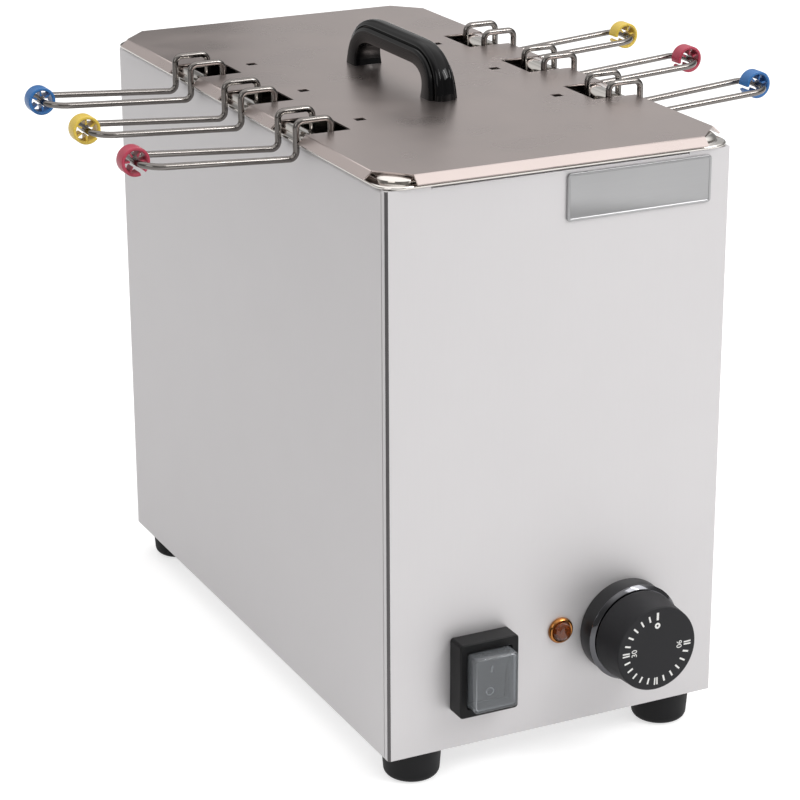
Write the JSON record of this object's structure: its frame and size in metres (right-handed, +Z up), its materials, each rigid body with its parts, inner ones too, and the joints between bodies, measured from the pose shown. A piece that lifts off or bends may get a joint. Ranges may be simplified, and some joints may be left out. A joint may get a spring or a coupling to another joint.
{
  "type": "commercial egg boiler",
  "caption": "Countertop box-shaped steel egg boiler with a hung water tank, a notched lift-off lid, hook-on wire egg baskets, a thermostat knob, a rocker switch and rubber feet.",
  "frame": {"origin": "on the table, under the middle of the whole in plan, halfway between the knob's face and the end of the cable gland", "axes": "+X across the front to the right as seen from the front, +Y from the front to the back, +Z up"},
  "size_m": [0.3342, 0.3642, 0.3124],
  "materials": {
    "body_steel": "satin stainless sheet",
    "tank_steel": "polished stainless",
    "lid_steel": "brushed stainless",
    "basket_wire": "polished stainless wire and strip",
    "foot_rubber": "black rubber",
    "zinc_bolts": "zinc-plated steel",
    "element_metal": "dull heater tube",
    "clamp_aluminium": "mill aluminium",
    "control_plastic": "dark moulded control casings",
    "white_plastic": "white nylon",
    "brass_nut": "plain brass",
    "copper_tube": "copper",
    "black_plastic": "black moulded plastic",
    "knob_plastic": "black moulded plastic with white marks",
    "handle_plastic": "black phenolic",
    "clear_cap": "clear soft splash cap",
    "rocker_plastic": "black rocker with white marks",
    "amber_lens": "amber lens",
    "trim_chrome": "bright plated ring",
    "badge_metal": "plain plate",
    "blue_grip": "blue plastic",
    "yellow_grip": "yellow plastic",
    "red_grip": "red plastic"
  },
  "bodies": {
    "housing": {"side_and_back_wrap": "body_steel", "front_panel": "body_steel", "bottom_plate": "body_steel", "feet": "foot_rubber", "foot_bolts": "zinc_bolts", "bottom_plate_bolts": "zinc_bolts", "water_tank": "tank_steel", "heating_element": "element_metal", "element_clamp_plate": "clamp_aluminium", "element_clamp_nuts": "zinc_bolts", "thermostat_body": "control_plastic", "thermostat_nut": "brass_nut", "thermostat_bulb": "copper_tube", "capillary_tube": "copper_tube", "bulb_clip": "body_steel", "safety_cutout": "control_plastic", "terminal_block": "white_plastic", "cable_gland": "black_plastic", "switch_frame": "black_plastic", "switch_cap": "clear_cap", "switch_housing": "black_plastic", "lamp_lens": "amber_lens", "lamp_body": "white_plastic", "knob_bezel": "black_plastic", "knob_trim_ring": "trim_chrome", "badge_plate": "badge_metal"},
    "knob": {"knob": "knob_plastic", "thermostat_shaft": "brass_nut"},
    "rocker": {"rocker": "rocker_plastic"},
    "lid": {"lid_plate": "lid_steel", "lid_handle": "handle_plastic", "lid_handle_bolts": "zinc_bolts"},
    "basket_left_rear": {"basket_left_rear_wire": "basket_wire", "basket_left_rear_cage": "basket_wire", "basket_left_rear_grip": "blue_grip"},
    "basket_left_middle": {"basket_left_middle_wire": "basket_wire", "basket_left_middle_cage": "basket_wire", "basket_left_middle_grip": "yellow_grip"},
    "basket_left_front": {"basket_left_front_wire": "basket_wire", "basket_left_front_cage": "basket_wire", "basket_left_front_grip": "red_grip"},
    "basket_right_rear": {"basket_right_rear_wire": "basket_wire", "basket_right_rear_cage": "basket_wire", "basket_right_rear_grip": "yellow_grip"},
    "basket_right_middle": {"basket_right_middle_wire": "basket_wire", "basket_right_middle_cage": "basket_wire", "basket_right_middle_grip": "red_grip"},
    "basket_right_front": {"basket_right_front_wire": "basket_wire", "basket_right_front_cage": "basket_wire", "basket_right_front_grip": "blue_grip"}
  },
  "joints": [
    {"name": "knob_turn", "type": "hinge", "parent": "housing", "child": "knob", "pos_m": [0.0362, -0.18205, 0.0595], "axis": [0, 1, 0], "range_deg": [0, 270]},
    {"name": "rocker_tilt", "type": "hinge", "parent": "housing", "child": "rocker", "pos_m": [-0.0394, -0.15775, 0.0532], "axis": [-1, 0, 0], "range_deg": [0, 20]},
    {"name": "lid_lift", "type": "slide", "parent": "housing", "child": "lid", "axis": [0, 0, 1], "range_m": [0, 0.25]},
    {"name": "basket_left_rear_lift", "type": "slide", "parent": "housing", "child": "basket_left_rear", "axis": [0, 0, 1], "range_m": [0, 0.105]},
    {"name": "basket_left_middle_lift", "type": "slide", "parent": "housing", "child": "basket_left_middle", "axis": [0, 0, 1], "range_m": [0, 0.105]},
    {"name": "basket_left_front_lift", "type": "slide", "parent": "housing", "child": "basket_left_front", "axis": [0, 0, 1], "range_m": [0, 0.105]},
    {"name": "basket_right_rear_lift", "type": "slide", "parent": "housing", "child": "basket_right_rear", "axis": [0, 0, 1], "range_m": [0, 0.105]},
    {"name": "basket_right_middle_lift", "type": "slide", "parent": "housing", "child": "basket_right_middle", "axis": [0, 0, 1], "range_m": [0, 0.105]},
    {"name": "basket_right_front_lift", "type": "slide", "parent": "housing", "child": "basket_right_front", "axis": [0, 0, 1], "range_m": [0, 0.105]}
  ]
}
